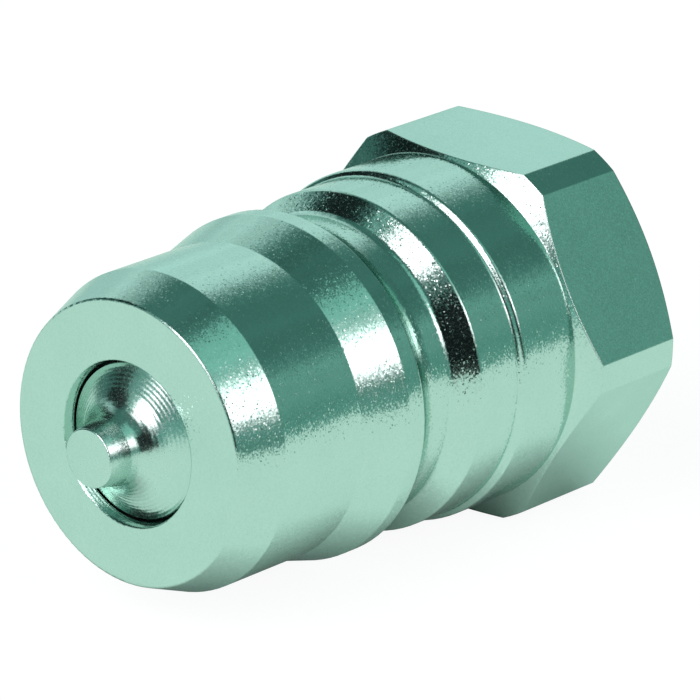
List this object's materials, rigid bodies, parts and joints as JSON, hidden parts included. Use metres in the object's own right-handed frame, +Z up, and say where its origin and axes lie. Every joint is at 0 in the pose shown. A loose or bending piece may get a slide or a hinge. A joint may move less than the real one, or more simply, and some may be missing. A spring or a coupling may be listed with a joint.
{
  "type": "quick coupling plug",
  "caption": "Turned steel quick coupling plug with a poppet valve in its nose, a ball locking groove, a hexagon and a pipe thread port at the rear.",
  "frame": {"origin": "on the plug's axis at the outer end of the port's threaded wall, 0.5 mm inside the rear face", "axes": "+X along the axis from the nose to the port's mouth, +Z up and square to the hexagon's top flat, +Y to the left when looking along +X"},
  "size_m": [0.0475, 0.03, 0.027],
  "materials": {
    "zinc_plated_steel": "bright zinc plated, green tinted",
    "turned_valve_steel": "turned and zinc plated",
    "seal_rubber": "matt moulded",
    "spring_steel": "drawn wire",
    "guide_steel": "zinc plated",
    "ring_steel": "phosphated"
  },
  "bodies": {
    "plug": {"plug_body": "zinc_plated_steel", "valve_guide": "guide_steel", "retaining_ring": "ring_steel", "valve_spring": "spring_steel"},
    "valve": {"poppet": "turned_valve_steel", "poppet_seal": "seal_rubber"}
  },
  "joints": [
    {"name": "poppet_slide", "type": "slide", "parent": "plug", "child": "valve", "axis": [1, 0, 0], "range_m": [0, 0.006], "stiffness_N_per_m": 4530, "springref_m": -0.0052, "deforming": ["valve_spring"]}
  ]
}
